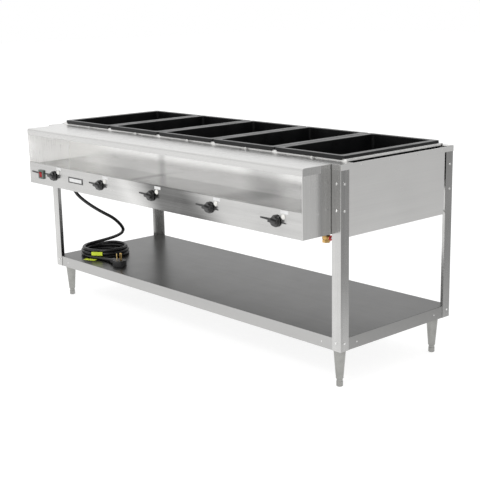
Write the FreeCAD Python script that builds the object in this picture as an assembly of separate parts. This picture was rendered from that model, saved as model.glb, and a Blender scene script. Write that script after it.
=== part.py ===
import FreeCAD, Part
import math
import os

# Five-well electric steam table.  Frame: +X to the right, -Y to the operator's
# control panel, +Z up.  Origin: floor, centre of the table's overall footprint.

os.makedirs("parts", exist_ok=True)
V = FreeCAD.Vector

# ---------------------------------------------------------------- driving dimensions, mm
TABLE_L = 1930.0          # over the outer faces of the legs
FRAME_D = 655.0           # front leg faces to rear leg faces
OVERHANG = 149.0          # control housing ahead of the front legs
KNOB_REACH = 26.0         # knob face ahead of the control panel
BOLT_HEAD = 3.0           # button head height
SHEET = 1.5               # panel sheet
LEG_SHEET = 2.0           # leg sheet
LEG_W = 44.0              # both flanges of a leg
LEG_BOTTOM = 155.0
TOP_Z = 858.0             # plate rest and side panels
BODY_BOTTOM = 588.0       # lower edge of the side and rear panels
SHELF_TOP = 204.0
WELLS = 5
WELL_PITCH = 367.0
WELL_SHIFT = 8.0          # the row of wells sits right of centre
WELL_Y = 341.0            # well centre, behind the front leg faces
RIM_X, RIM_Y = 365.0, 562.0
RIM_BOTTOM, RIM_TOP = 868.0, 879.5
HOUSING_L = 1840.0        # plate rest and control housing
HOUSING_BOTTOM = 599.0
PANEL_TOP = 699.0         # upper edge of the control panel
RECESS_FLOOR = 689.0
RECESS_BACK = 75.0        # back wall of the dish recess, behind the front leg faces
LIP_BOTTOM = 830.0
KNOB_X0, KNOB_PITCH = -705.0, 372.5
KNOB_Z = 653.0
FOOT_INSET_X, FOOT_INSET_Y = 49.0, 48.0
FOOT_TRAVEL = 25.0
CORD_R = 8.0

HALF_L = TABLE_L / 2
HALF_H = HOUSING_L / 2
Y_REAR = (FRAME_D + OVERHANG + KNOB_REACH + BOLT_HEAD) / 2 - BOLT_HEAD
Y_FRONT = Y_REAR - FRAME_D
Y_PANEL = Y_FRONT - OVERHANG
WELL_X = [(i - (WELLS - 1) / 2) * WELL_PITCH + WELL_SHIFT for i in range(WELLS)]
KNOB_X = [KNOB_X0 + i * KNOB_PITCH for i in range(WELLS)]
BOLT_ZS = (787.0, 688.0, 187.0)
BOLT_X = 23.5             # bolt to leg corner on the front and rear faces
BOLT_Y = 19.5             # bolt to leg corner on the side faces
BOLT_R, BOLT_HOLE_R = 3.0, 3.3
MASTER_X = -812.0
MASTER_Z = 649.0
SHAFT_R = 3.0
DRAIN_Y = 128.0           # drains, behind the front leg faces
VALVE_X, VALVE_Z = 772.0, 544.0
GLAND_X, GLAND_Y = -815.0, 20.0
GLAND_END = 572.0         # lower end of the strain relief


# ---------------------------------------------------------------- helpers
def fy(depth):
    """Y of a place given by its distance behind the front leg faces."""
    return Y_FRONT + depth


def box(x0, x1, y0, y1, z0, z1):
    x0, x1 = sorted((x0, x1))
    y0, y1 = sorted((y0, y1))
    z0, z1 = sorted((z0, z1))
    return Part.makeBox(x1 - x0, y1 - y0, z1 - z0, V(x0, y0, z0))


def cyl(radius, start, end):
    axis = end - start
    return Part.makeCylinder(radius, axis.Length, start, axis)


def fuse(shapes):
    joined = shapes[0]
    for shape in shapes[1:]:
        joined = joined.fuse(shape)
    return joined.removeSplitter()


def cut(shape, tools):
    for tool in tools:
        shape = shape.cut(tool)
    return shape


def turned(profile, x, y):
    """Solid of revolution about the vertical through (x, y); profile is (radius, z) points."""
    points = [V(x + r, y, z) for r, z in profile]
    face = Part.Face(Part.makePolygon(points + [points[0]]))
    return face.revolve(V(x, y, 0), V(0, 0, 1), 360)


def rounded_wire(x, y, width, depth, radius, z):
    """Rounded rectangle in a level plane, centred on (x, y)."""
    a, b = width / 2, depth / 2
    corners = [(x + a, y - b, 0), (x + a, y + b, 90), (x - a, y + b, 180), (x - a, y - b, 270)]
    edges = []
    last = None
    first = None
    for cx, cy, start in corners:
        sx = -1 if cx > x else 1
        sy = -1 if cy > y else 1
        centre = V(cx + sx * radius, cy + sy * radius, z)
        arc_points = []
        for step in (0, 45, 90):
            angle = math.radians(start - 90 + step)
            arc_points.append(centre + V(math.cos(angle), math.sin(angle), 0) * radius)
        if last is not None:
            edges.append(Part.LineSegment(last, arc_points[0]).toShape())
        else:
            first = arc_points[0]
        edges.append(Part.Arc(*arc_points).toShape())
        last = arc_points[2]
    edges.append(Part.LineSegment(last, first).toShape())
    return Part.Wire(edges)


def rounded_block(x, y, width, depth, radius, z0, z1):
    face = Part.Face(rounded_wire(x, y, width, depth, radius, z0))
    return face.extrude(V(0, 0, z1 - z0))


def hexagon(across_corners, base, height):
    """Upright hexagonal block on the point base."""
    points = []
    for i in range(7):
        angle = math.radians(60 * i)
        points.append(base + V(math.cos(angle), math.sin(angle), 0) * across_corners)
    return Part.Face(Part.makePolygon(points)).extrude(V(0, 0, height))


def edges_at(shape, test):
    return [edge for edge in shape.Edges if test(edge)]


def save(name, *solids):
    shape = solids[0] if len(solids) == 1 else Part.makeCompound(list(solids))
    shape.exportStep("parts/" + name + ".step")


# ---------------------------------------------------------------- frame
def leg_corner(sx, sy):
    return sx * HALF_L, (Y_REAR if sy > 0 else Y_FRONT)


def bolt_spots(sx, sy):
    """Bolt places on one leg: a point on the outer face and the outward direction."""
    x, y = leg_corner(sx, sy)
    spots = []
    for z in BOLT_ZS:
        spots.append((V(x - sx * BOLT_X, y, z), V(0, sy, 0)))
        spots.append((V(x, y - sy * BOLT_Y, z), V(sx, 0, 0)))
    return spots


ALL_BOLTS = [spot for sx in (-1, 1) for sy in (-1, 1) for spot in bolt_spots(sx, sy)]


def bolt_drills():
    return [cyl(BOLT_HOLE_R, p + n * 1.0, p - n * 5.0) for p, n in ALL_BOLTS]


def drill_bolts(shape):
    return cut(shape, bolt_drills())


def leg(sx, sy):
    x, y = leg_corner(sx, sy)
    top = TOP_Z - 2 * SHEET
    front = box(x, x - sx * LEG_W, y, y - sy * LEG_SHEET, LEG_BOTTOM, top)
    side = box(x, x - sx * LEG_SHEET, y, y - sy * LEG_W, LEG_BOTTOM, top)
    post = fuse([front, side])
    bend = edges_at(post, lambda e: abs(e.CenterOfMass.x - x) < 0.01
                    and abs(e.CenterOfMass.y - y) < 0.01)
    return drill_bolts(post.makeFillet(1.8, bend))


def button_bolt(point, outward):
    """Button-head bolt through the leg and the panel behind it, with its nut."""
    head = cyl(5.0, point, point + outward * BOLT_HEAD)
    rim = edges_at(head, lambda e: (e.CenterOfMass - point).dot(outward) > BOLT_HEAD - 0.01)
    head = head.makeFillet(1.6, rim)
    grip = LEG_SHEET + SHEET
    shank = cyl(BOLT_R, point, point - outward * (grip + 5.0))
    nut = cyl(5.5, point - outward * grip, point - outward * (grip + 4.0))
    nut = nut.cut(cyl(BOLT_R, point, point - outward * (grip + 6.0)))
    return [fuse([head, shank]), nut]


def undershelf():
    inset = LEG_SHEET
    x = HALF_L - inset
    y0, y1 = Y_FRONT + inset, Y_REAR - inset
    hem = 13.5
    tray = box(-x, x, y0, y1, LEG_BOTTOM, SHELF_TOP)
    hollow = box(SHEET - x, x - SHEET, y0 + SHEET, y1 - SHEET, LEG_BOTTOM + SHEET, SHELF_TOP - SHEET)
    mouth = box(hem - x, x - hem, y0 + hem, y1 - hem, LEG_BOTTOM - 1, LEG_BOTTOM + SHEET + 1)
    tray = cut(tray, [hollow, mouth])
    top = edges_at(tray, lambda e: abs(e.CenterOfMass.z - SHELF_TOP) < 0.01)
    return drill_bolts(tray.makeFillet(1.2, top))


def stiffener(depth):
    """Hat channel under the shelf."""
    half, height, flange = 30.0, 26.0, 14.0
    top = SHELF_TOP - SHEET
    y = fy(depth)
    x = HALF_L - 70
    outer = box(-x, x, y - half, y + half, top - height, top)
    inner = box(-x - 1, x + 1, y - half + SHEET, y + half - SHEET, top - height + SHEET, top + 1)
    ears = [box(-x, x, y + s * half, y + s * (half + flange), top - SHEET, top) for s in (-1, 1)]
    return fuse([outer.cut(inner)] + ears)


def foot_place(sx, sy):
    x, y = leg_corner(sx, sy)
    return x - sx * FOOT_INSET_X, y - sy * FOOT_INSET_Y


SLEEVE_BOTTOM = 32.0
STEM_R = 8.0
STEM_TOP = SLEEVE_BOTTOM + FOOT_TRAVEL + 31.0    # stem still held when wound right out


def gusset(sx, sy):
    """Plate in the shelf's corner that carries a foot."""
    x, y = leg_corner(sx, sy)
    px, py = foot_place(sx, sy)
    low = LEG_BOTTOM + SHEET
    plate = box(x - sx * 4.5, x - sx * 98, y - sy * 4.5, y - sy * 95, low, low + 4)
    return plate.cut(cyl(6.2, V(px, py, low - 1), V(px, py, low + 5)))


def foot_sleeve(sx, sy):
    px, py = foot_place(sx, sy)
    top = LEG_BOTTOM + SHEET
    outline = [(0, SLEEVE_BOTTOM), (14.5, SLEEVE_BOTTOM), (15, SLEEVE_BOTTOM + 1), (15, 38),
               (23.5, 140), (23.5, 147), (26, 148), (26, top), (6, top), (6, top + 16), (0, top + 16)]
    sleeve = turned(outline, px, py)
    bore = cyl(STEM_R + 0.05, V(px, py, SLEEVE_BOTTOM - 1), V(px, py, 116))
    return sleeve.cut(bore)


def foot_insert(sx, sy):
    px, py = foot_place(sx, sy)
    shoulder = SLEEVE_BOTTOM - 0.4
    outline = [(0, 0), (11, 0), (13, 2), (13, 20), (12, 21), (12, shoulder - 1), (11, shoulder),
               (STEM_R, shoulder), (STEM_R, STEM_TOP), (0, STEM_TOP)]
    return turned(outline, px, py)


# ---------------------------------------------------------------- body panels and deck
DECK_Z = RIM_BOTTOM                              # upper face of the deck
DECK_FRONT, DECK_REAR, DECK_HALF = 66.0, 632.0, 932.0
DECK_SKIRT = 859.0                               # lower edge of the deck's side skirts
OPENING_X, OPENING_FRONT, OPENING_REAR = 322.0, 76.0, 606.0
PLATE_REAR = 72.0                                # rear edge of the plate rest
PANEL_REAR = 604.0                               # side panels stop short of the rear legs
BAND_BOTTOM = 837.0                              # folded band along the top of a side panel
BAND_X = HALF_L + SHEET                          # outer face of that band


def side_panel(sx):
    """Folded sheet: wall behind the front leg, its top folded out and down over the legs."""
    x = sx * (HALF_L - LEG_SHEET)
    inner = x - sx * SHEET
    band = sx * BAND_X
    near, rear = 3.7, FRAME_D
    wall = box(x, inner, fy(near), fy(PANEL_REAR), BODY_BOTTOM, TOP_Z - SHEET)
    cap = box(band, inner, fy(PLATE_REAR + 0.5), fy(rear), TOP_Z - SHEET, TOP_Z)
    front_cap = box(band, x + sx * 0.3, fy(0), fy(PLATE_REAR + 0.5), TOP_Z - SHEET, TOP_Z)
    fold = box(band, band - sx * SHEET, fy(0), fy(rear), BAND_BOTTOM, TOP_Z)
    foot = box(x, x - sx * 13, fy(near), fy(PANEL_REAR), BODY_BOTTOM, BODY_BOTTOM + SHEET)
    turn = box(x, x - sx * 22, fy(PANEL_REAR), fy(PANEL_REAR - SHEET), BODY_BOTTOM, TOP_Z - SHEET)
    return drill_bolts(fuse([wall, cap, front_cap, fold, foot, turn]))


RIVET_DEPTHS = (110.0, 268.0, 426.0, 584.0)
RIVET_Z = 847.5


def rear_panel():
    """Wall across the back with a top ledge and a return behind each rear leg."""
    y = Y_REAR - LEG_SHEET
    x = HALF_L - LEG_SHEET
    top = TOP_Z - SHEET - 0.2
    wall = box(-x, x, y, y - SHEET, BODY_BOTTOM, top)
    lid = box(-HALF_L, HALF_L, Y_REAR, fy(618), TOP_Z, TOP_Z + SHEET)
    web = box(2.0 - x, x - 2.0, y - SHEET, y - 2 * SHEET, top - 12, TOP_Z + 0.5)
    foot = box(-x, x, y, y - 13, BODY_BOTTOM, BODY_BOTTOM + SHEET)
    returns = [box(s * x, s * (x - SHEET), y, fy(614), BODY_BOTTOM, top) for s in (-1, 1)]
    return drill_bolts(fuse([wall, lid, web, foot] + returns))


def top_deck():
    """Frame of flat strips round the well openings, with a skirt on each side."""
    low = DECK_Z - SHEET
    front, rear = fy(OPENING_FRONT), fy(OPENING_REAR)
    strips = [box(-DECK_HALF, DECK_HALF, fy(DECK_FRONT), front, low, DECK_Z),
              box(-DECK_HALF, DECK_HALF, rear, fy(DECK_REAR), low, DECK_Z)]
    sides = [-DECK_HALF] + [x + s * OPENING_X / 2 for x in WELL_X for s in (-1, 1)] + [DECK_HALF]
    strips += [box(x0, x1, front, rear, low, DECK_Z) for x0, x1 in zip(sides[::2], sides[1::2])]
    half = DECK_HALF - SHEET
    strips += [box(s * DECK_HALF, s * half, fy(DECK_FRONT), fy(616), DECK_SKIRT, low) for s in (-1, 1)]
    strips.append(box(-half, half, fy(DECK_FRONT), fy(DECK_FRONT + SHEET), TOP_Z, low))
    strips.append(box(-half, half, fy(DECK_REAR), fy(DECK_REAR - SHEET), TOP_Z + SHEET, low))
    return strips


def blind_rivet(point, outward):
    head = cyl(3.0, point, point + outward * 1.0)
    shank = cyl(1.9, point - outward * 6.0, point)
    return fuse([head, shank])


END_OUTER = HALF_H - SHEET                       # outer face of the housing's end panels
END_SCREW = (-69.0, 684.0)                       # depth and height of the end panel screw


def side_rivet_spots():
    return [(V(s * BAND_X, fy(d), RIVET_Z), V(s, 0, 0)) for s in (-1, 1) for d in RIVET_DEPTHS]


def shelf_screw_spots():
    """Screws through the shelf's front and side edges, beside the legs."""
    x, z = HALF_L - LEG_SHEET, 178.0
    front = [(V(s * (HALF_L - 99), Y_FRONT + LEG_SHEET, z), V(0, -1, 0)) for s in (-1, 1)]
    return front + [(V(s * x, fy(d), z), V(s, 0, 0)) for s in (-1, 1) for d in (91, 556)]


def end_screw_spots():
    depth, z = END_SCREW
    return [(V(s * END_OUTER, fy(depth), z), V(s, 0, 0)) for s in (-1, 1)]


def drill_rivets(shape, spots):
    return cut(shape, [cyl(2.0, p + n, p - n * 5.5) for p, n in spots])


# ---------------------------------------------------------------- wells
WELL_FLOOR = 712.0
WELL_INSIDE_X, WELL_INSIDE_Y, WELL_CORNER = 300.0, 520.0, 12.0
WELL_BASE = 706.0
DRAIN_HOLE_R = 12.5
LIP_Z = 863.5             # lower edge of a rim's front lip


def well(x):
    """Moulded basin with a broad rim on the deck, turned down further at the front.

    It is given as flush stretches, its floor, walls, corners, rim and front lip, each of them open
    or flat enough that a pan has its whole inside free.
    """
    y = fy(WELL_Y)
    front = y - RIM_Y / 2
    half = RIM_X / 2 - 14
    rim = rounded_block(x, y, RIM_X, RIM_Y, 12, RIM_BOTTOM, RIM_TOP)
    lip = box(x - half, x + half, front, front + 5, LIP_Z, RIM_BOTTOM)
    under = rounded_block(x, y, RIM_X - 10, RIM_Y - 10, 7, RIM_BOTTOM - 1, RIM_TOP - 5)
    basin = rounded_block(x, y, WELL_INSIDE_X + 10, WELL_INSIDE_Y + 8, 16, WELL_BASE, RIM_TOP - 4)
    inside = rounded_block(x, y, WELL_INSIDE_X, WELL_INSIDE_Y, WELL_CORNER, WELL_FLOOR, RIM_TOP + 0.5)
    shape = fuse([rim.cut(under), basin]).cut(inside)
    brim = edges_at(shape, lambda e: abs(e.BoundBox.ZMin - RIM_TOP) < 0.01)
    shape = shape.makeFillet(2.5, brim)
    shape = shape.cut(cyl(DRAIN_HOLE_R, V(x, fy(DRAIN_Y), WELL_BASE - 5), V(x, fy(DRAIN_Y), 725)))
    return [lip] + well_stretches(shape, x, y)


def well_stretches(shape, x, y):
    """The floor, then the walls and the rim divided where their corners begin."""
    across = WELL_INSIDE_X / 2 - WELL_CORNER
    along = WELL_INSIDE_Y / 2 - WELL_CORNER
    xs = [x - RIM_X, x - across, x + across, x + RIM_X]
    ys = [y - RIM_Y, y - along, y + along, y + RIM_Y]
    cells = [box(xs[0], xs[3], ys[0], ys[3], WELL_BASE - 1, WELL_FLOOR)]
    for low, high in ((WELL_FLOOR, RIM_BOTTOM), (RIM_BOTTOM, RIM_TOP + 1)):
        for column in range(3):
            for row in range(3):
                if (column, row) != (1, 1):
                    cells.append(box(xs[column], xs[column + 1], ys[row], ys[row + 1], low, high))
    return [shape.common(cell) for cell in cells]


def well_clip(x):
    """Small angle on the plate rest that stops a well sliding forward."""
    centre, half = x + 22, 4.5
    foot = box(centre - half, centre + half, fy(52), fy(59), TOP_Z, TOP_Z + SHEET)
    tab = box(centre - half, centre + half, fy(57.5), fy(59), TOP_Z, LIP_Z + 1.5)
    return fuse([foot, tab])


def element_pan(x):
    y0, y1 = fy(165), fy(565)
    low = 664.0
    outer = box(x - 142, x + 142, y0, y1, low, WELL_BASE)
    return outer.cut(box(x - 141, x + 141, y0 + 1, y1 - 1, low + 1, WELL_BASE + 1))


def heating_element(x):
    """Tubular heater bent to a loop, on two terminal posts."""
    y, z, tube_r = fy(365), 697.0, 4.0
    ring = rounded_block(x, y, 238, 348, 54, z - tube_r, z + tube_r)
    ring = ring.cut(rounded_block(x, y, 222, 332, 46, z - 5, z + 5))
    round_edges = edges_at(ring, lambda e: abs(abs(e.CenterOfMass.z - z) - tube_r) < 0.01)
    ring = ring.makeFillet(3.2, round_edges)
    posts = [cyl(3, V(x + s * 20, y - 170, 665), V(x + s * 20, y - 170, z - 1)) for s in (-1, 1)]
    return fuse([ring] + posts)


# ---------------------------------------------------------------- front housing
SEAM = -55.0              # rear end of the housing's end flanges
ROLL = 9.0                # radius of the rolled front edge
LIP_DEPTH = 12.0


def plate_roll():
    """Rolled front edge with its lip and hem, the length of the housing."""
    def outline(inset):
        radius = ROLL - inset
        front, rear = Y_PANEL + inset, Y_PANEL + LIP_DEPTH + inset
        top, low = TOP_Z - inset, LIP_BOTTOM + inset
        mid = V(0, front + radius * (1 - math.sqrt(0.5)), top - radius * (1 - math.sqrt(0.5)))
        a, b = V(0, front, top - radius), V(0, front + radius, top)
        path = [b, V(0, rear, top), V(0, rear, low), V(0, front, low), a]
        edges = [Part.Arc(a, mid, b).toShape()]
        edges += [Part.LineSegment(p, q).toShape() for p, q in zip(path, path[1:])]
        return Part.Face(Part.Wire(edges))

    solid = outline(0).extrude(V(2 * HALF_H, 0, 0))
    solid.translate(V(-HALF_H, 0, 0))
    hollow = outline(SHEET).extrude(V(2 * END_OUTER, 0, 0))
    hollow.translate(V(-END_OUTER, 0, 0))
    hem_z = LIP_BOTTOM + SHEET + 0.1
    notches = [box(s * END_OUTER, s * (END_OUTER - SHEET - 0.3), Y_PANEL + SHEET,
                   Y_PANEL + LIP_DEPTH + 1, LIP_BOTTOM - 1, hem_z) for s in (-1, 1)]
    return cut(solid, [hollow] + notches)


def plate_rest():
    """Work surface in one folded sheet: top, rolled edge, end flanges, leg covers."""
    low = TOP_Z - SHEET
    roll_rear = Y_PANEL + LIP_DEPTH
    inner = HALF_L - LEG_SHEET - 0.2
    over_leg = HALF_L - LEG_W + 0.5
    pieces = [plate_roll(),
              box(-HALF_H, HALF_H, roll_rear, Y_FRONT, low, TOP_Z),
              box(-inner, inner, Y_FRONT, fy(PLATE_REAR), low, TOP_Z)]
    for s in (-1, 1):
        pieces.append(box(s * HALF_H, s * END_OUTER, roll_rear, fy(SEAM), LIP_BOTTOM, low))
        pieces.append(box(s * over_leg, s * HALF_L, Y_FRONT - SHEET, Y_FRONT, BAND_BOTTOM + 1, TOP_Z))
    return pieces


def housing_end(sx):
    """End of the housing, with an outward flange that bolts behind the leg."""
    x = sx * END_OUTER
    inner = x - sx * SHEET
    lid = TOP_Z - SHEET - 0.1
    low = box(x, inner, Y_PANEL, fy(RECESS_BACK), HOUSING_BOTTOM, LIP_BOTTOM - 1)
    roll_bottom = TOP_Z - ROLL - 1
    middle = box(x, inner, Y_PANEL + SHEET + 0.1, fy(RECESS_BACK), LIP_BOTTOM - 1, roll_bottom)
    high = box(x, inner, Y_PANEL + ROLL + 1, fy(RECESS_BACK), roll_bottom, lid)
    flange = box(x, sx * (HALF_L - 3.7), fy(LEG_SHEET), fy(LEG_SHEET + SHEET), HOUSING_BOTTOM, lid)
    return drill_rivets(drill_bolts(fuse([low, middle, high, flange])), end_screw_spots())


LINER_HALF = END_OUTER - SHEET - 0.2


def recess_liner():
    """Floor and back wall of the open dish recess, one folded sheet."""
    back = fy(RECESS_BACK)
    floor = box(-LINER_HALF, LINER_HALF, Y_PANEL + 14, back, RECESS_FLOOR - SHEET, RECESS_FLOOR)
    upstand = box(-LINER_HALF, LINER_HALF, Y_PANEL + 14, Y_PANEL + 14 + SHEET,
                  RECESS_FLOOR, PANEL_TOP - SHEET)
    wall = box(-LINER_HALF, LINER_HALF, back, back - SHEET, RECESS_FLOOR, TOP_Z - SHEET)
    ledge = box(-LINER_HALF, LINER_HALF, fy(30), back, TOP_Z - 2 * SHEET, TOP_Z - SHEET)
    return fuse([floor, upstand, wall, ledge])


BUSHING_R = 4.7
LAMP_DX, LAMP_Z = 37.0, 673.0
LABEL_DX, LABEL_Z = 43.0, 690.0
NAME_X, NAME_Z = -526.0, 650.0   # blank name plate


def control_panel():
    face = box(-LINER_HALF, LINER_HALF, Y_PANEL, Y_PANEL + SHEET, HOUSING_BOTTOM, PANEL_TOP)
    top = box(-LINER_HALF, LINER_HALF, Y_PANEL, Y_PANEL + 15.5, PANEL_TOP - SHEET, PANEL_TOP)
    foot = box(-LINER_HALF, LINER_HALF, Y_PANEL, Y_PANEL + 19, HOUSING_BOTTOM, HOUSING_BOTTOM + SHEET)
    panel = fuse([face, top, foot])
    bends = edges_at(panel, lambda e: abs(e.CenterOfMass.y - Y_PANEL) < 0.01
                     and abs(e.CenterOfMass.x) < 0.01)
    panel = panel.makeFillet(1.3, bends)
    holes = []
    for x in KNOB_X:
        for radius, dx, z in ((BUSHING_R, 0, KNOB_Z), (5.0, LAMP_DX, LAMP_Z)):
            holes.append(cyl(radius, V(x + dx, Y_PANEL - 1, z), V(x + dx, Y_PANEL + 3, z)))
    holes.append(box(MASTER_X - 15, MASTER_X + 15, Y_PANEL - 1, Y_PANEL + 3, MASTER_Z - 16, MASTER_Z + 16))
    return cut(panel, holes)


def housing_bottom():
    """Removable cover under the controls, with the compartment's rear wall."""
    back = fy(RECESS_BACK)
    base = box(-LINER_HALF, LINER_HALF, Y_PANEL + 19.5, back, HOUSING_BOTTOM, HOUSING_BOTTOM + SHEET)
    wall = box(-LINER_HALF, LINER_HALF, back, back - SHEET, HOUSING_BOTTOM, RECESS_FLOOR - SHEET - 0.1)
    hole = cyl(10.0, V(GLAND_X, fy(GLAND_Y), 590), V(GLAND_X, fy(GLAND_Y), 610))
    return fuse([base, wall]).cut(hole)


# ---------------------------------------------------------------- controls
def control_switch(x):
    """Heat control behind the panel: case, threaded bushing and shaft bore."""
    case = box(x - 20, x + 20, Y_PANEL + SHEET, Y_PANEL + 38, KNOB_Z - 22, KNOB_Z + 22)
    bushing = cyl(BUSHING_R, V(x, Y_PANEL + 3, KNOB_Z), V(x, Y_PANEL - 2.4, KNOB_Z))
    bore = cyl(SHAFT_R + 0.05, V(x, Y_PANEL - 5, KNOB_Z), V(x, Y_PANEL + 30, KNOB_Z))
    return fuse([case, bushing]).cut(bore)


def control_shaft(x):
    return cyl(SHAFT_R, V(x, Y_PANEL + 28, KNOB_Z), V(x, Y_PANEL - 18, KNOB_Z))


KNOB_GAP = 3.0


KNOB_TILT = 8.0           # degrees, grip at rest: right end lower


def knob(x):
    """Round skirt and drum with a bar grip across them, pressed on the control's shaft."""
    base = Y_PANEL - KNOB_GAP
    centre = V(x, base, KNOB_Z)
    skirt = cyl(23.0, centre, V(x, base - 4, KNOB_Z))
    skirt = skirt.makeFillet(1.2, edges_at(skirt, lambda e: e.CenterOfMass.y < base - 3))
    drum = Part.makeCone(20.0, 18.0, 9, V(x, base - 4, KNOB_Z), V(0, -1, 0))
    grip = box(x - 22, x + 19, base - 10, Y_PANEL - KNOB_REACH, KNOB_Z - 6, KNOB_Z + 6)
    grip = grip.makeFillet(2.8, edges_at(grip, lambda e: e.CenterOfMass.y < base - 10.5))
    grip.rotate(centre, V(0, 1, 0), KNOB_TILT)
    body = fuse([skirt, drum, grip])
    return body.cut(cyl(SHAFT_R, V(x, base + 1, KNOB_Z), V(x, Y_PANEL - 18, KNOB_Z)))


def dial_strip(x0, x1, z0, z1, high0, high1):
    """Dark tapered marker on the panel beside a control."""
    y = Y_PANEL
    points = [V(x0, y, z0 - high0 / 2), V(x1, y, z1 - high1 / 2),
              V(x1, y, z1 + high1 / 2), V(x0, y, z0 + high0 / 2)]
    return Part.Face(Part.makePolygon(points + [points[0]])).extrude(V(0, -2.0, 0))


def dial_strips():
    strips = []
    for x in KNOB_X:
        strips.append(dial_strip(x - 84, x - 12, KNOB_Z + 3, KNOB_Z + 1, 5.0, 10.5))
        strips.append(dial_strip(x + 12, x + 50, KNOB_Z - 1, KNOB_Z - 4, 5.5, 3.0))
    strips.append(dial_strip(MASTER_X - 84, MASTER_X - 23, MASTER_Z + 7, MASTER_Z + 4, 6.0, 7.0))
    return strips


def indicator_lamp(x):
    """Round neon lamp: lens in front of the panel, barrel behind it."""
    z = LAMP_Z
    lens = Part.makeCylinder(10.0, 2.0, V(x, Y_PANEL, z), V(0, -1, 0))
    dome = Part.makeCone(10.0, 6.0, 3.5, V(x, Y_PANEL - 2, z), V(0, -1, 0))
    barrel = cyl(4.8, V(x, Y_PANEL, z), V(x, Y_PANEL + 24, z))
    return fuse([lens, dome, barrel])


def label_plate(x, z, width, height, thick=0.8):
    return box(x - width / 2, x + width / 2, Y_PANEL, Y_PANEL - thick, z - height / 2, z + height / 2)


ROCKER_Y = 4.0            # rocker axis ahead of the panel


def power_bezel():
    """Square frame of the master switch, with its case through the panel."""
    front = box(MASTER_X - 21, MASTER_X + 21, Y_PANEL, Y_PANEL - 8, MASTER_Z - 21, MASTER_Z + 21)
    front = front.makeFillet(2.5, edges_at(front, lambda e: e.CenterOfMass.y < Y_PANEL - 0.5))
    case = box(MASTER_X - 14.5, MASTER_X + 14.5, Y_PANEL + 30, Y_PANEL - 1, MASTER_Z - 15.5, MASTER_Z + 15.5)
    pocket = box(MASTER_X - 11, MASTER_X + 11, Y_PANEL - 12, Y_PANEL + 14, MASTER_Z - 13.5, MASTER_Z + 13.5)
    y = Y_PANEL - ROCKER_Y
    pivot = cyl(1.55, V(MASTER_X - 13.5, y, MASTER_Z), V(MASTER_X + 13.5, y, MASTER_Z))
    return cut(fuse([front, case]), [pocket, pivot])


ROCKER_REST = 9.0         # degrees, upper half out: switched off


def power_rocker():
    y = Y_PANEL - ROCKER_Y
    half, x = 11.5, MASTER_X
    profile = [V(x - 10.4, y + 5, MASTER_Z - half + 2), V(x - 10.4, y - 5.2, MASTER_Z - half),
               V(x - 10.4, y - 3.2, MASTER_Z), V(x - 10.4, y - 5.2, MASTER_Z + half),
               V(x - 10.4, y + 5, MASTER_Z + half - 2)]
    body = Part.Face(Part.makePolygon(profile + [profile[0]])).extrude(V(20.8, 0, 0))
    axle = cyl(1.5, V(MASTER_X - 13, y, MASTER_Z), V(MASTER_X + 13, y, MASTER_Z))
    rocker = fuse([body, axle])
    rocker.rotate(V(MASTER_X, y, MASTER_Z), V(1, 0, 0), ROCKER_REST)
    return rocker


def terminal_block():
    base = box(-660, -580, fy(-60), fy(-24), HOUSING_BOTTOM + SHEET, 612)
    ribs = [box(x, x + 2, fy(-60), fy(-24), 611, 624) for x in range(-660, -578, 13)]
    return fuse([base] + ribs)


# ---------------------------------------------------------------- drains
MANIFOLD_Z = 632.0
PIPE_R, PIPE_BORE = 11.0, 9.0


def drain_fitting(x):
    """Flanged drain through a well floor, with its nut and tail."""
    y = fy(DRAIN_Y)
    outline = [(PIPE_BORE, 690), (12.3, 690), (12.3, WELL_FLOOR), (24, WELL_FLOOR),
               (23, WELL_FLOOR + 2), (PIPE_BORE, WELL_FLOOR + 2)]
    nut = hexagon(18, V(x, y, WELL_BASE - 9), 9).cut(cyl(11, V(x, y, 690), V(x, y, 710)))
    return fuse([turned(outline, x, y), nut])


def drain_manifold():
    """Pipe that gathers the drains and drops to the valve at the right."""
    y = fy(DRAIN_Y)
    end = V(VALVE_X, y, MANIFOLD_Z)

    def run(radius, extra):
        pieces = [cyl(radius, V(WELL_X[0] - 14 + extra, y, MANIFOLD_Z), end), Part.makeSphere(radius, end)]
        pieces += [cyl(radius, V(x, y, MANIFOLD_Z), V(x, y, 690 + extra)) for x in WELL_X]
        pieces.append(cyl(radius, end, V(VALVE_X, y, VALVE_Z + 24 - extra)))
        return fuse(pieces)

    return run(PIPE_R, 0).cut(run(PIPE_BORE, 2))


BALL_R = 9.5
OUTLET_R, OUTLET_LENGTH = 9.5, 13.0
VALVE_BOTTOM = VALVE_Z - 20


def drain_valve_body():
    y = fy(DRAIN_Y)
    centre = V(VALVE_X, y, VALVE_Z)
    lower = hexagon(16, V(VALVE_X, y, VALVE_BOTTOM), 11)
    upper = hexagon(16, V(VALVE_X, y, VALVE_Z + 13), 11)
    middle = Part.makeSphere(16.5, centre)
    neck = cyl(7.5, centre, V(VALVE_X + 20, y, VALVE_Z))
    solid = fuse([lower, upper, middle, neck])
    ways = [cyl(6.5, V(VALVE_X, y, VALVE_BOTTOM - 1), V(VALVE_X, y, VALVE_Z + 30)),
            cyl(OUTLET_R, V(VALVE_X, y, VALVE_BOTTOM - 1), V(VALVE_X, y, VALVE_BOTTOM + OUTLET_LENGTH - 4.5)),
            Part.makeSphere(BALL_R + 0.05, centre),
            cyl(4.05, centre, V(VALVE_X + 30, y, VALVE_Z))]
    return cut(solid, ways)


def drain_stem():
    """Ball and stem; the ball's way lies across the pipe when closed."""
    y = fy(DRAIN_Y)
    centre = V(VALVE_X, y, VALVE_Z)
    ball = Part.makeSphere(BALL_R, centre)
    ball = ball.cut(cyl(5.5, V(VALVE_X, y - 20, VALVE_Z), V(VALVE_X, y + 20, VALVE_Z)))
    stem = cyl(4.0, V(VALVE_X + 7, y, VALVE_Z), V(VALVE_X + 29, y, VALVE_Z))
    return fuse([ball, stem])


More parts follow.
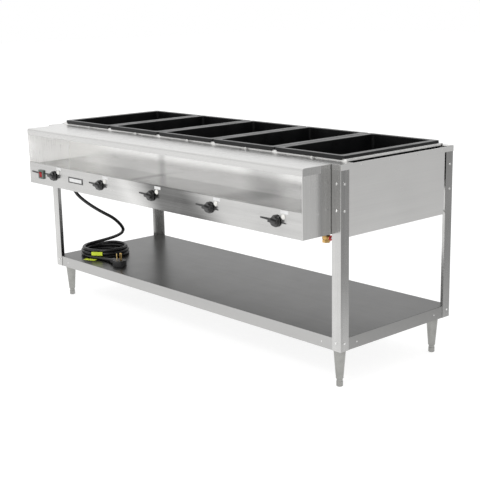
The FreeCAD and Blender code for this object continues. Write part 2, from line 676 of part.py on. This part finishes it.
def drain_lever():
    """Flat lever on the stem with a thicker coated grip, pointing to the rear."""
    y = fy(DRAIN_Y)
    x0, x1 = VALVE_X + 22, VALVE_X + 25
    hub = cyl(10.5, V(x0, y, VALVE_Z), V(x1, y, VALVE_Z))
    arm = box(x0, x1, y, y + 44, VALVE_Z - 6.5, VALVE_Z + 6.5)
    grip = box(x0 - 2, x1 + 2, y + 32, y + 92, VALVE_Z - 8.5, VALVE_Z + 8.5)
    grip = grip.makeFillet(3.0, grip.Edges)
    return fuse([hub, arm, grip]).cut(cyl(4.0, V(x0 - 1, y, VALVE_Z), V(x1 + 1, y, VALVE_Z)))


# ---------------------------------------------------------------- power cord
def cord_point(x, depth, z):
    return V(x, fy(depth), z)


CORD_DROP = [cord_point(*p) for p in (
    (GLAND_X, GLAND_Y, GLAND_END),
    (-815, 32, 534),
    (-802, 63, 493),
    (-773, 102, 462),
    (-748, 143, 426),
    (-717, 191, 395),
    (-710, 228, 346),
    (-736, 269, 312),
    (-786, 299, 301),
    (-840, 296, 277),
    (-885, 257, 255),
    (-910, 205, 245))]

CORD_TAIL = [cord_point(*p) for p in (
    (-779, 77, 212),
    (-729, 90.2, 212),
    (-676, 96.5, 213.5),
    (-623, 97.3, 217))]

COIL_X, COIL_Y = -808.0, 186.0
COIL_OUT, COIL_IN, COIL_TOP = 122.0, 87.0, 250.0


def cord_tube(points, name):
    """Round tube along straight runs joined by tangent arcs."""
    edges = []
    radii = []
    here = points[0]
    for before, corner, after in zip(points, points[1:], points[2:]):
        a = (before - corner)
        b = (after - corner)
        run = min(a.Length, b.Length)
        a.normalize()
        b.normalize()
        turn = math.pi - a.getAngle(b)
        reach = 0.45 * run
        radius = reach / math.tan(turn / 2)
        radii.append(radius)
        start = corner + a * reach
        end = corner + b * reach
        middle = a + b
        middle.normalize()
        sag = radius / math.cos(turn / 2) - radius
        edges.append(Part.LineSegment(here, start).toShape())
        edges.append(Part.Arc(start, corner + middle * sag, end).toShape())
        here = end
    edges.append(Part.LineSegment(here, points[-1]).toShape())
    path = Part.Wire(edges)
    heading = points[1] - points[0]
    ring = Part.Wire(Part.makeCircle(CORD_R, points[0], heading))
    tube = path.makePipeShell([ring], True, True)
    length = path.Length
    expected = math.pi * CORD_R ** 2 * length
    print(name, "length", round(length, 1), "smallest radius", round(min(radii), 1),
          "volume ratio", round(tube.Volume / expected, 4))
    return tube


def cord_gland():
    """Clamp nut under the cover and the tapered strain relief below it."""
    outline = [(0, HOUSING_BOTTOM + 10), (9.8, HOUSING_BOTTOM + 10), (9.8, HOUSING_BOTTOM),
               (16, HOUSING_BOTTOM), (16, HOUSING_BOTTOM - 7), (13, HOUSING_BOTTOM - 9),
               (CORD_R + 0.8, GLAND_END), (0, GLAND_END)]
    return turned(outline, GLAND_X, fy(GLAND_Y))


def cord_coil():
    """Outer shape of the coil of spare cord lying on the shelf."""
    low = SHELF_TOP
    outline = [(COIL_IN + 6, low), (COIL_OUT - 6, low), (COIL_OUT, low + 7), (COIL_OUT, COIL_TOP - 12),
               (COIL_OUT - 11, COIL_TOP), (COIL_IN + 8, COIL_TOP), (COIL_IN, COIL_TOP - 9),
               (COIL_IN, low + 7)]
    return turned(outline, COIL_X, fy(COIL_Y))


PLUG_X, PLUG_Y = -558.0, 95.0
PLUG_R, PLUG_TOP = 33.0, 230.0
CLAMP_LENGTH, CLAMP_TURN = 65.0, 2.0


def plug_body():
    """Right-angle attachment plug, face up, with its cord clamp to the left."""
    x, y = PLUG_X, fy(PLUG_Y)
    drum = cyl(PLUG_R, V(x, y, SHELF_TOP), V(x, y, PLUG_TOP))
    drum = drum.makeFillet(3.0, edges_at(drum, lambda e: abs(e.CenterOfMass.z - PLUG_TOP) < 0.01))
    clamp = box(x - CLAMP_LENGTH, x, y - 14, y + 14, SHELF_TOP + 2, PLUG_TOP - 2)
    clamp = clamp.makeFillet(5.0, edges_at(clamp, lambda e: e.CenterOfMass.x < x - 5))
    clamp.rotate(V(x, y, 0), V(0, 0, 1), -CLAMP_TURN)
    return fuse([drum, clamp])


def plug_blades():
    x, y = PLUG_X, fy(PLUG_Y)
    blades = []
    for angle, wide in ((210, 4.0), (330, 4.0), (90, 5.0)):
        a = math.radians(angle + 20)
        cx, cy = x + 12.5 * math.cos(a), y + 12.5 * math.sin(a)
        blade = box(cx - wide, cx + wide, cy - 1.2, cy + 1.2, PLUG_TOP, PLUG_TOP + 31)
        blade.rotate(V(cx, cy, 0), V(0, 0, 1), angle + 110)
        blades.append(blade)
    return blades


def cord_tags():
    """Two thin blank tags: one against the coil's front, one flat on the shelf."""
    upright = box(-28, 28, -COIL_OUT - 1.6, -COIL_OUT - 0.6, SHELF_TOP + 19, SHELF_TOP + 37)
    upright.rotate(V(0, 0, 0), V(0, 0, 1), 36)
    upright.translate(V(COIL_X, fy(COIL_Y), 0))
    flat = box(-31, 31, -13, 13, SHELF_TOP, SHELF_TOP + 0.8)
    flat.rotate(V(0, 0, 0), V(0, 0, 1), 22)
    flat.translate(V(-756, fy(59), 0))
    return [upright, flat]


# ---------------------------------------------------------------- assembly
CORNERS = (("fl", -1, -1), ("fr", 1, -1), ("rl", -1, 1), ("rr", 1, 1))

for corner_name, side_x, side_y in CORNERS:
    save("leg_" + corner_name, leg(side_x, side_y))
    save("foot_insert_" + corner_name, foot_insert(side_x, side_y))
save("foot_sleeves", *[foot_sleeve(sx, sy) for _, sx, sy in CORNERS])
save("foot_gussets", *[gusset(sx, sy) for _, sx, sy in CORNERS])
save("undershelf", drill_rivets(undershelf(), shelf_screw_spots()))
save("shelf_stiffeners", *[stiffener(depth) for depth in (170, 328, 486)])
save("frame_bolts", *[solid for p, n in ALL_BOLTS for solid in button_bolt(p, n)])
save("side_panel_left", drill_rivets(side_panel(-1), side_rivet_spots()))
save("side_panel_right", drill_rivets(side_panel(1), side_rivet_spots()))
ALL_RIVETS = side_rivet_spots() + end_screw_spots() + shelf_screw_spots()
save("panel_rivets", *[blind_rivet(p, n) for p, n in ALL_RIVETS])
save("rear_panel", rear_panel())
save("top_deck", *top_deck())
for number, well_x in enumerate(WELL_X, 1):
    save("well_%d" % number, *well(well_x))
save("well_clips", *[well_clip(x) for x in WELL_X])
save("element_pans", *[element_pan(x) for x in WELL_X])
save("heating_elements", *[heating_element(x) for x in WELL_X])
save("plate_rest", *plate_rest())
save("recess_liner", recess_liner())
save("control_panel", control_panel())
save("housing_end_left", housing_end(-1))
save("housing_end_right", housing_end(1))
save("housing_bottom", housing_bottom())
save("control_switches", *[control_switch(x) for x in KNOB_X])
for number, knob_x in enumerate(KNOB_X, 1):
    save("knob_%d" % number, knob(knob_x))
    save("control_shaft_%d" % number, control_shaft(knob_x))
save("dial_strips", *dial_strips())
save("indicator_lamps", *[indicator_lamp(x + LAMP_DX) for x in KNOB_X])
save("label_plates", label_plate(NAME_X, NAME_Z, 116, 27, 1.2),
     *[label_plate(x + LABEL_DX, LABEL_Z, 40, 12) for x in KNOB_X])
save("power_bezel", power_bezel())
save("power_rocker", power_rocker())
save("terminal_block", terminal_block())
save("drain_fittings", *[drain_fitting(x) for x in WELL_X])
save("drain_manifold", drain_manifold())
save("drain_valve_body", drain_valve_body())
save("drain_stem", drain_stem())
save("drain_lever", drain_lever())
save("cord_gland", cord_gland())
save("power_cord", cord_tube(CORD_DROP, "cord drop"), cord_tube(CORD_TAIL, "cord tail"))
save("cord_coil", cord_coil())
save("plug_body", plug_body())
save("plug_blades", *plug_blades())
save("cord_tags", *cord_tags())
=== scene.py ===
"""Five-well electric steam table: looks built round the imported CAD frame."""

import math

import bpy
from mathutils import Matrix, Vector


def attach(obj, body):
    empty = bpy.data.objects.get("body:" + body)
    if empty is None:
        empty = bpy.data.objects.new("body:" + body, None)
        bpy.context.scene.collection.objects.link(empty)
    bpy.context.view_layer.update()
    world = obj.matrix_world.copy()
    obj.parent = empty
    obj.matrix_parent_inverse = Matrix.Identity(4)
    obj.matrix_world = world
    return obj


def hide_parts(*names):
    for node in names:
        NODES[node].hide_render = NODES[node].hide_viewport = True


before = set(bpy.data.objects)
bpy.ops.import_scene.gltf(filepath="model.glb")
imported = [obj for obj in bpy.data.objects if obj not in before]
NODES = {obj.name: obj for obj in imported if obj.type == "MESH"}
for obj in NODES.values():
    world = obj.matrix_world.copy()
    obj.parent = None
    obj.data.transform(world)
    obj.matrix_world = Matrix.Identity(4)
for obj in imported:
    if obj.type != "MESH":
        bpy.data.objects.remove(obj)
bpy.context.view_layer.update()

TABLE = "table"                      # the fixed body
MM = 0.001
WELLS = range(1, 6)
FEET = ("fl", "fr", "rl", "rr")


def place(x, y, z):
    """A point given in millimetres, in metres."""
    return Vector((x * MM, y * MM, z * MM))


# ---------------------------------------------------------------- camera
CAMERA_PLACE = Vector((3.4754, -2.9757, 1.4446))
CAMERA_YAW = math.radians(48.19)
CAMERA_PITCH = math.radians(-12.99)
CAMERA_ROLL = math.radians(-1.17)
LENS_MM = 78.72
SENSOR_MM = 36
FAR_CLIP = 200


def make_camera():
    """The photograph's camera, turned by its yaw, pitch and roll."""
    forward = Vector((-math.sin(CAMERA_YAW) * math.cos(CAMERA_PITCH),
                      math.cos(CAMERA_YAW) * math.cos(CAMERA_PITCH),
                      math.sin(CAMERA_PITCH)))
    level = Vector((math.cos(CAMERA_YAW), math.sin(CAMERA_YAW), 0))
    upright = level.cross(forward)
    right = level * math.cos(CAMERA_ROLL) + upright * math.sin(CAMERA_ROLL)
    up = upright * math.cos(CAMERA_ROLL) - level * math.sin(CAMERA_ROLL)
    camera = bpy.data.objects.new("camera", bpy.data.cameras.new("camera"))
    bpy.context.scene.collection.objects.link(camera)
    camera.data.lens = LENS_MM
    camera.data.sensor_width = SENSOR_MM
    camera.data.clip_end = FAR_CLIP
    turn = Matrix((right, up, -forward)).transposed().to_4x4()
    camera.matrix_world = Matrix.Translation(CAMERA_PLACE) @ turn
    bpy.context.scene.camera = camera


make_camera()


# ---------------------------------------------------------------- node helpers
NOISE_RANGE = (0.3, 0.7)             # where nearly all of a noise lies
FACING_RANGE = (0.5, 0.9)            # a normal's share along an axis, from none of a change to all of it


class Shader:
    """A material's node tree, built a node at a time."""

    def __init__(self, name):
        self.material = bpy.data.materials.new(name)
        self.material.use_nodes = True
        self.tree = self.material.node_tree
        self.tree.nodes.clear()
        self.out = self.add("OutputMaterial")
        self.surface = self.add("BsdfPrincipled")
        self.link(self.surface, "BSDF", self.out, "Surface")
        self.coords = self.add("TexCoord")

    def add(self, kind, **settings):
        """A node, with its inputs or its properties set by name."""
        node = self.tree.nodes.new("ShaderNode" + kind)
        for key, value in settings.items():
            if key in node.inputs:
                node.inputs[key].default_value = value
            else:
                setattr(node, key, value)
        return node

    def link(self, source, output, target, socket):
        self.tree.links.new(source.outputs[output], target.inputs[socket])

    def set(self, **values):
        """Constants on the surface's own sockets."""
        for key, value in values.items():
            self.surface.inputs[key.replace("_", " ")].default_value = value

    def noise(self, scale, detail=3.0, rough=0.5, distortion=0.0):
        """Noise over the object, with its own scale along each axis (cycles a metre)."""
        mapping = self.add("Mapping")
        mapping.inputs["Scale"].default_value = scale
        self.link(self.coords, "Object", mapping, "Vector")
        noise = self.add("TexNoise", Scale=1.0, Detail=detail, Roughness=rough,
                         Distortion=distortion)
        self.link(mapping, "Vector", noise, "Vector")
        return noise

    def ramp(self, source, output, start, end, low, high, kind="SMOOTHSTEP"):
        """From low to high as the source goes from start to end, smoothly or evenly."""
        node = self.add("MapRange", interpolation_type=kind)
        for socket, value in (("From Min", start), ("From Max", end), ("To Min", low), ("To Max", high)):
            node.inputs[socket].default_value = value
        self.link(source, output, node, "Value")
        return node

    def spread(self, noise, low, high):
        """Noise, mostly near the middle of its range, stretched to run from low to high."""
        return self.ramp(noise, "Fac", *NOISE_RANGE, low, high, "LINEAR")

    def split(self, output):
        """The three parts of one of the texture coordinates."""
        node = self.add("SeparateXYZ")
        self.link(self.coords, output, node, "Vector")
        return node

    def stretch(self, start, end, soft, lean, change, axis="X"):
        """The change of a painted reflection over a soft-edged stretch along an axis, which leans with
        height.
        """
        split = self.split("Object")
        slant = self.add("Math", operation="MULTIPLY_ADD")
        self.link(split, "Z", slant, 0)
        self.link(split, axis, slant, 2)
        slant.inputs[1].default_value = lean
        return self.combine("MULTIPLY",
                            self.ramp(slant, 0, start - soft, start + soft, 0.0, change),
                            self.ramp(slant, 0, end - soft, end + soft, 1.0, 0.0))

    def painted_facing_tone(self, axis, change):
        """Painted light and shade: the change on sides that look along an axis."""
        return self.ramp(self.split("Normal"), axis, *FACING_RANGE, 0.0, change)

    def combine(self, operation, first, second):
        """Two nodes, or a node and a number, through one sum."""
        node = self.add("Math", operation=operation)
        for socket, value in enumerate((first, second)):
            if isinstance(value, (int, float)):
                node.inputs[socket].default_value = value
            else:
                self.tree.links.new(value.outputs[0], node.inputs[socket])
        return node

    def tinted(self, colour, value):
        """Base colour times a value that varies over the surface."""
        node = self.add("VectorMath", operation="SCALE")
        node.inputs[0].default_value = colour
        self.link(value, 0, node, "Scale")
        self.link(node, "Vector", self.surface, "Base Color")

    def rough(self, value):
        self.link(value, 0, self.surface, "Roughness")

    def bump(self, height, strength, distance):
        node = self.add("Bump", Strength=strength, Distance=distance)
        self.link(height, 0, node, "Height")
        self.link(node, "Normal", self.surface, "Normal")


# ---------------------------------------------------------------- kinds of material
X, Y, Z = range(3)                   # the way that a sheet is brushed
STEEL_TINT = (1.0, 0.995, 0.98)
GRAIN_CYCLES = (5.0, 900.0)          # brushed grain, cycles a metre along and across
STREAK_CYCLES = (0.8, 45.0)          # the wider streaks in it
CLOUD_CYCLES, SMUDGE_CYCLES = 3.0, 9.0
MOULD_CYCLES = 14.0                  # uneven sheen of moulded pieces
PITTED_CYCLES, TARNISH_CYCLES = 180.0, 30.0


def brushed(name, tone, rough, along, patch=0.05, streak=0.05, coarse=0.04, metal=1.0, painted_reflections=(), painted_sides=()):
    """Stainless sheet brushed along one axis, faintly uneven and handled.

    A painted reflection is (from, to, soft, lean, change), a stretch in metres where the sheet is painted
    lighter or darker along X or the axis named last; a painted side is (axis, change), painted light and
    shade on the sides that look along an axis.
    """
    shader = Shader(name)
    fine = shader.noise([GRAIN_CYCLES[axis != along] for axis in (X, Y, Z)], detail=2.0)
    wide = shader.noise([STREAK_CYCLES[axis != along] for axis in (X, Y, Z)], detail=4.0)
    cloud = shader.noise((CLOUD_CYCLES,) * 3, distortion=0.4)
    smudge = shader.noise((SMUDGE_CYCLES,) * 3, detail=6.0, rough=0.65)
    lightness = shader.combine("ADD", shader.spread(fine, tone - streak / 2, tone + streak / 2),
                               shader.spread(cloud, -patch, patch))
    lightness = shader.combine("ADD", lightness, shader.spread(wide, -streak / 2, streak / 2))
    # Painted reflections: stretches of the sheet painted lighter or darker.
    for painted_reflection in painted_reflections:
        lightness = shader.combine("ADD", lightness, shader.stretch(*painted_reflection))
    # Painted light and shade: sides that look along an axis painted lighter or darker.
    for axis, change in painted_sides:
        lightness = shader.combine("ADD", lightness, shader.painted_facing_tone(axis, change))
    shader.tinted(STEEL_TINT, lightness)
    shader.rough(shader.combine("ADD", shader.spread(fine, rough - coarse, rough + coarse),
                                shader.spread(smudge, -coarse, coarse)))
    shader.bump(fine, strength=0.06, distance=0.0004)
    shader.set(Metallic=metal)
    return shader.material


def moulded(name, colour, rough, grain=600.0, depth=0.15, specular=0.5, coat=0.0):
    """Moulded plastic or rubber with a fine texture and slightly uneven sheen."""
    shader = Shader(name)
    fine = shader.noise((grain,) * 3, detail=2.0)
    cloud = shader.noise((MOULD_CYCLES,) * 3, detail=4.0)
    shader.tinted(colour, shader.spread(cloud, 0.88, 1.12))
    shader.rough(shader.combine("ADD", shader.spread(fine, rough - 0.04, rough + 0.04),
                                shader.spread(cloud, -0.04, 0.06)))
    shader.bump(fine, strength=depth, distance=0.0003)
    shader.set(Specular_IOR_Level=specular, Coat_Weight=coat, Coat_Roughness=0.12)
    return shader.material


def worn_metal(name, colour, rough, patch=0.08):
    """Turned, cast or plated metal with a cloudy surface."""
    shader = Shader(name)
    fine = shader.noise((PITTED_CYCLES,) * 3, detail=5.0, rough=0.6)
    cloud = shader.noise((TARNISH_CYCLES,) * 3)
    shader.tinted(colour, shader.spread(cloud, 1 - patch, 1 + patch))
    shader.rough(shader.spread(fine, rough - 0.06, rough + 0.08))
    shader.bump(fine, strength=0.08, distance=0.0004)
    shader.set(Metallic=1.0)
    return shader.material


# ---------------------------------------------------------------- power cord
# Its points are in millimetres, with the depth counted from the front legs' faces.
CORD_R = 0.008
Y_FRONT = -241.5
CORD_DROP = [(-815, 20, 572), (-815, 30, 538), (-788, 62, 495), (-755, 100, 458),
             (-729, 134, 431), (-709, 175, 404), (-704, 213, 366), (-726, 245, 334),
             (-767, 270, 314), (-809, 292, 292), (-852, 286, 270), (-888, 252, 254), (-910, 205, 245)]
CORD_TAIL = [(-779, 77, 212), (-729, 90.2, 212), (-676, 96.5, 213.5), (-623, 97.3, 217)]
COIL_CENTRE = (-808, 186)
COIL_TRACKS = [(105, 241.5), (113, 227.5), (97, 227.5), (97, 212), (113, 212)]   # radius and height
COIL_TURNS = 4
COIL_POINTS_A_TURN = 16
OVAL, OVAL_LEAN = 3.0, 0.7           # how far the turns stray from round, and which way
WANDER, WANDER_RATE = 0.8, 1.7       # how far and how often they stray from each other


def coil_points():
    """The coil's turns: tracks held for most of a turn each, then a shift to the next."""
    centre_x, centre_y = COIL_CENTRE
    start_x, start_y, _ = CORD_DROP[-1]
    end_x, end_y, _ = CORD_TAIL[0]
    first = math.atan2(start_y - centre_y, start_x - centre_x) % math.tau
    last = math.atan2(end_y - centre_y, end_x - centre_x) % math.tau + COIL_TURNS * math.tau
    held = (last - first) / len(COIL_TRACKS)
    shift = math.tau - held
    steps = round((last - first) / math.tau * COIL_POINTS_A_TURN)
    points = []
    for step in range(1, steps):
        angle = (last - first) * step / steps
        track = min(int(angle / held), len(COIL_TRACKS) - 1)
        radius, height = COIL_TRACKS[track]
        if track:
            blend = min((angle - track * held) / shift, 1.0)
            blend = blend * blend * (3 - 2 * blend)      # eases in and out
            old_radius, old_height = COIL_TRACKS[track - 1]
            radius = old_radius + (radius - old_radius) * blend
            height = old_height + (height - old_height) * blend
        turn = first + angle
        radius += OVAL * math.cos(2 * turn - OVAL_LEAN) + WANDER * math.sin(WANDER_RATE * angle)
        points.append((centre_x + radius * math.cos(turn),
                       centre_y + radius * math.sin(turn), height))
    return points


def tube_curve(name, points, radius):
    """Round tube on one smooth NURBS line with the points as its control points."""
    curve = bpy.data.curves.new(name, "CURVE")
    curve.dimensions = "3D"
    curve.bevel_depth = radius
    curve.bevel_resolution = 5
    curve.use_fill_caps = True
    spline = curve.splines.new("NURBS")
    spline.points.add(len(points) - 1)
    for point, target in zip(spline.points, points):
        point.co = (*target, 1)
    spline.order_u = 3
    spline.use_endpoint_u = True
    spline.resolution_u = 6
    piece = bpy.data.objects.new(name, curve)
    bpy.context.scene.collection.objects.link(piece)
    return piece


def cord_route():
    route = CORD_DROP + coil_points() + CORD_TAIL
    return [place(x, Y_FRONT + depth, z) for x, depth, z in route]


ROUTE = cord_route()
cord = tube_curve("power_cord_line", ROUTE, CORD_R)
cord.data.materials.append(moulded("cord_rubber", (0.006, 0.006, 0.0065), 0.34, grain=500.0))
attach(cord, TABLE)
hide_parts("power_cord", "cord_coil")


# ---------------------------------------------------------------- materials of the CAD nodes
def dress(material, *names):
    for name in names:
        mesh = NODES[name].data
        mesh.materials.clear()
        mesh.materials.append(material)


PLATE_X, PLATE_Z = (-0.584, -0.468), (0.6365, 0.6635)   # the name plate on the control panel
PLATE_OUTSIDE = (-0.002, -0.002)     # margins in X and Z: past the plate's edge
PLATE_WINDOW = (0.009, 0.0055)       # and its pale field
EDGE_SOFT = 0.0006
BORDER_DARKER = 0.60


def label_material():
    """White label film, with the larger name plate's dark border and no lettering."""
    shader = Shader("label_film")
    split = shader.split("Object")

    def between(output, start, end):
        return shader.combine(
            "MULTIPLY",
            shader.ramp(split, output, start - EDGE_SOFT, start + EDGE_SOFT, 0.0, 1.0, "LINEAR"),
            shader.ramp(split, output, end - EDGE_SOFT, end + EDGE_SOFT, 1.0, 0.0, "LINEAR"))

    def inside(margin_x, margin_z):
        return shader.combine("MULTIPLY", between("X", PLATE_X[0] + margin_x, PLATE_X[1] - margin_x),
                              between("Z", PLATE_Z[0] + margin_z, PLATE_Z[1] - margin_z))

    border = shader.combine("SUBTRACT", inside(*PLATE_OUTSIDE), inside(*PLATE_WINDOW))
    cloud = shader.noise((60.0,) * 3)
    lightness = shader.combine("SUBTRACT", shader.spread(cloud, 0.62, 0.70),
                               shader.combine("MULTIPLY", border, BORDER_DARKER))
    shader.tinted((1.0, 1.0, 1.0), lightness)
    shader.rough(shader.spread(cloud, 0.28, 0.36))
    return shader.material


# Painted reflections: lighter and darker stretches painted into the polished sheets' colour on the control
# panel, the recess liner and the right housing end, in place of the studio's reflections.
PANEL_PAINTED_REFLECTIONS = ((0.16, 0.36, 0.06, 0.5, 0.12), (0.75, 1.16, 0.12, 1.2, -0.37))
LINER_PAINTED_REFLECTIONS = ((-0.19, -0.15, 0.02, 0.0, -0.2), (0.40, 0.58, 0.06, 0.0, -0.20))
END_PAINTED_REFLECTION = ((-0.31, -0.20, 0.02, 0.0, -0.35, "Y"),)


def dress_nodes():
    numbered = {kind: ["%s_%d" % (kind, number) for number in WELLS]
                for kind in ("well", "knob", "control_shaft")}
    # Painted shade: the legs' sides that face +x are painted darker than their fronts.
    dress(brushed("leg_steel", 0.56, 0.24, Z, painted_sides=[("X", -0.12)]), *["leg_" + foot for foot in FEET])
    dress(brushed("panel_steel", 0.53, 0.24, X, patch=0.04, painted_reflections=PANEL_PAINTED_REFLECTIONS), "control_panel")
    dress(brushed("back_steel", 0.62, 0.27, X, patch=0.04), "rear_panel", "housing_bottom")
    # Painted reflections and shade: darker streaks on the liner's back wall, and its upward faces (the
    # recess floor) painted darker.
    dress(brushed("liner_steel", 0.82, 0.2, X, patch=0.03, metal=0.75, painted_reflections=LINER_PAINTED_REFLECTIONS,
                  painted_sides=[("Z", -0.46)]), "recess_liner")
    # The two side panels are one sheet in two tones: painted light by side, with the right panel painted
    # much lighter than the left.
    dress(brushed("side_steel", 0.86, 0.34, Y, patch=0.02, streak=0.03), "side_panel_right")
    dress(brushed("side_left_steel", 0.62, 0.32, Y, patch=0.02, streak=0.03), "side_panel_left")
    dress(brushed("end_steel", 0.80, 0.24, Z, patch=0.03, painted_reflections=END_PAINTED_REFLECTION), "housing_end_right")
    # Painted light: the left housing end is painted pale and made only partly metallic so it reads brightly
    # lit.
    dress(brushed("end_painted_light_steel", 0.88, 0.3, Z, patch=0.04, metal=0.3), "housing_end_left")
    # Painted light: the plate rest's upward faces are painted lighter than its front lip.
    dress(brushed("rest_steel", 0.60, 0.28, X, patch=0.012, streak=0.02, coarse=0.02,
                  painted_sides=[("Z", 0.12)]), "plate_rest")
    # Painted light: the deck is painted pale and made only partly metallic, so it reads bright where it
    # would mirror the dark well rims.
    dress(brushed("deck_steel", 0.88, 0.3, X, metal=0.3), "top_deck")
    # Painted shade: the undershelf's upward faces and its +x ends are painted darker.
    dress(brushed("shelf_steel", 0.46, 0.32, X, patch=0.006, streak=0.01, coarse=0.015,
                  painted_sides=[("Z", -0.345), ("X", -0.14)]), "undershelf")
    dress(brushed("stiffener_steel", 0.42, 0.42, X), "shelf_stiffeners", "foot_gussets")
    dress(worn_metal("foot_steel", (0.34, 0.34, 0.325), 0.2), "foot_sleeves",
          *["foot_insert_" + foot for foot in FEET])
    dress(worn_metal("fastener_steel", (0.78, 0.78, 0.77), 0.2), "frame_bolts", "panel_rivets", "well_clips",
          *numbered["control_shaft"])
    dress(worn_metal("pan_steel", (0.5, 0.5, 0.49), 0.42), "element_pans")
    dress(worn_metal("element_steel", (0.16, 0.15, 0.15), 0.55), "heating_elements")
    dress(worn_metal("pipe_steel", (0.55, 0.55, 0.54), 0.36), "drain_manifold")
    dress(worn_metal("brass", (0.62, 0.40, 0.15), 0.3, patch=0.18), "drain_fittings", "drain_valve_body")
    dress(worn_metal("ball_chrome", (0.8, 0.8, 0.8), 0.12), "drain_stem")
    dress(worn_metal("blade_brass", (0.85, 0.62, 0.26), 0.26), "plug_blades")
    dress(moulded("well_black", (0.004, 0.004, 0.0045), 0.32, grain=420.0, depth=0.08, specular=0.35),
          *numbered["well"])
    dress(moulded("knob_black", (0.006, 0.006, 0.006), 0.14, grain=300.0, depth=0.04, coat=0.5),
          *numbered["knob"])
    dress(moulded("strip_black", (0.015, 0.015, 0.015), 0.35), "dial_strips")
    dress(moulded("switch_black", (0.02, 0.02, 0.02), 0.5), "control_switches", "cord_gland")
    dress(moulded("terminal_plastic", (0.72, 0.70, 0.64), 0.5), "terminal_block")
    dress(moulded("lamp_lens", (0.70, 0.69, 0.66), 0.18, depth=0.05, coat=0.6), "indicator_lamps")
    dress(moulded("bezel_plastic", (0.09, 0.115, 0.10), 0.35), "power_bezel")
    dress(moulded("rocker_red", (0.32, 0.002, 0.008), 0.45, specular=0.15), "power_rocker")
    dress(moulded("lever_red", (0.55, 0.02, 0.02), 0.35, coat=0.2), "drain_lever")
    dress(moulded("plug_black", (0.02, 0.02, 0.021), 0.42), "plug_body")
    dress(moulded("tag_yellow", (0.72, 0.86, 0.05), 0.6, depth=0.05), "cord_tags")
    dress(label_material(), "label_plates")


dress_nodes()


# ---------------------------------------------------------------- stage and light
FLOOR_HALF = 30.0
FLOOR_TONE, FLOOR_GLOW = 0.35, 0.80
DIM_SIDE = Vector((0.745, 0.667, 0.0))   # the studio is darker on this side, as polished sheet shows it
FLOOR_DIM = (0.3, 2.6, FLOOR_GLOW, 0.15)  # from and to this far out, bright and dark
SKY_DIM = (0.3, 0.9, 1.0, 0.45)          # the same on a direction's share towards that side


def make_floor(half):
    mesh = bpy.data.meshes.new("floor")
    mesh.from_pydata([(-half, -half, 0), (half, -half, 0), (half, half, 0), (-half, half, 0)],
                     [], [(0, 1, 2, 3)])
    mesh.materials.append(floor_material())
    floor = bpy.data.objects.new("floor", mesh)
    bpy.context.scene.collection.objects.link(floor)


def floor_material():
    """Plain pale floor that glows a little; in polished sheet one side of it looks darker."""
    shader = Shader("floor_white")
    shader.set(Base_Color=(FLOOR_TONE,) * 3 + (1,), Roughness=0.9, Specular_IOR_Level=0.0,
               Emission_Color=(1, 1, 1, 1))
    shader.link(dimmed(shader, "Object", *FLOOR_DIM), 0, shader.surface, "Emission Strength")
    return shader.material


def dimmed(shader, coords, near, far, bright, dark):
    """Bright for all rays but mirrored ones, which see it fall to dark towards the dim side."""
    along = shader.add("VectorMath", operation="DOT_PRODUCT")
    shader.link(shader.coords, coords, along, 0)
    along.inputs[1].default_value = DIM_SIDE
    fall = shader.ramp(along, "Value", near, far, 0.0, dark - bright)
    path = shader.add("LightPath")
    mirrored = shader.add("Math", operation="MULTIPLY_ADD")
    shader.link(path, "Is Glossy Ray", mirrored, 0)
    shader.link(fall, 0, mirrored, 1)
    mirrored.inputs[2].default_value = bright
    return mirrored


class Sky(Shader):
    """The same node helpers on the world's tree."""

    def __init__(self, world):
        world.use_nodes = True
        self.tree = world.node_tree
        self.surface = self.tree.nodes["Background"]
        self.coords = self.add("TexCoord")


def make_world():
    world = bpy.data.worlds.new("studio")
    bpy.context.scene.world = world
    sky = Sky(world)
    sky.set(Color=(1, 1, 1, 1))
    sky.link(dimmed(sky, "Generated", *SKY_DIM), 0, sky.surface, "Strength")


def soft_light(name, spot, target, size, power):
    """A rectangular lamp at a spot, turned to a target, in metres and watts."""
    data = bpy.data.lights.new(name, "AREA")
    data.shape = "RECTANGLE"
    data.size, data.size_y = size
    data.energy = power
    lamp = bpy.data.objects.new(name, data)
    bpy.context.scene.collection.objects.link(lamp)
    lamp.location = spot
    lamp.rotation_mode = "QUATERNION"
    lamp.rotation_quaternion = (Vector(target) - Vector(spot)).to_track_quat("-Z", "Y")
    lamp.visible_camera = False
    return lamp


def light_only(lamp, *names):
    """The lamp reaches these nodes and nothing else."""
    lit = bpy.data.collections.new(lamp.name + "_lit")
    for name in names:
        lit.objects.link(NODES[name])
    lamp.light_linking.receiver_collection = lit


make_world()
make_floor(FLOOR_HALF)
soft_light("key", spot=(1.5, -3.5, 3.8), target=(0, 0, 0.5), size=(0.9, 0.9), power=45)
recess_fill = soft_light("recess_fill", spot=(0.3, -1.6, 0.95), target=(-0.4, -0.2, 0.77), size=(1.6, 0.6),
                         power=15)
light_only(recess_fill, "recess_liner", "housing_end_left")
bpy.context.scene.view_settings.view_transform = "Standard"
